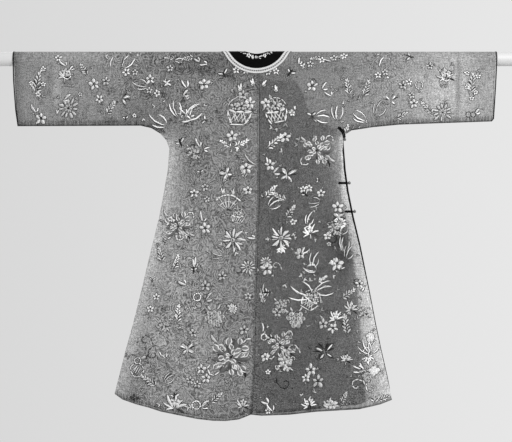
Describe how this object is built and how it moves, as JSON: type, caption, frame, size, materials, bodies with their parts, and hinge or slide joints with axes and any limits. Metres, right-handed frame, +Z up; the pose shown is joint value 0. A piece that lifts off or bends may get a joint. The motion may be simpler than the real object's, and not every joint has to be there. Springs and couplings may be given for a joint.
{
  "type": "robe on a hanging rod",
  "caption": "Wide silk gauze robe with a round neck, straight sleeves and a front that closes at the side, hung flat over a round rod.",
  "frame": {"origin": "on the rod's axis, halfway along it", "axes": "+X along the rod to the wearer's right, the back of the robe faces -Y, +Z up"},
  "size_m": [2, 0.0719, 1.3989],
  "materials": {
    "gauze": "sheer plain silk gauze, embroidered",
    "black_satin": "black silk satin",
    "white_braid": "woven white braid with a dark dotted line",
    "button_metal": "worn ball button",
    "rod_paint": "smooth white paint"
  },
  "bodies": {
    "root": {"rod": "rod_paint", "left_body": "gauze", "right_body": "gauze", "overlap": "gauze", "sleeve_left": "gauze", "sleeve_right": "gauze", "cuff_binding_left": "black_satin", "cuff_binding_right": "black_satin", "overlap_binding": "black_satin", "neck_band": "black_satin", "neck_braid": "white_braid", "neck_button": "button_metal", "neck_button_strap": "black_satin", "neck_loop_strap": "black_satin", "chest_button": "button_metal", "chest_button_strap": "black_satin", "chest_loop_strap": "black_satin", "armpit_button": "button_metal", "armpit_button_strap": "black_satin", "armpit_loop_strap": "black_satin", "upper_side_button": "button_metal", "upper_side_button_strap": "black_satin", "upper_side_loop_strap": "black_satin", "lower_side_button": "button_metal", "lower_side_button_strap": "black_satin", "lower_side_loop_strap": "black_satin"}
  },
  "joints": []
}
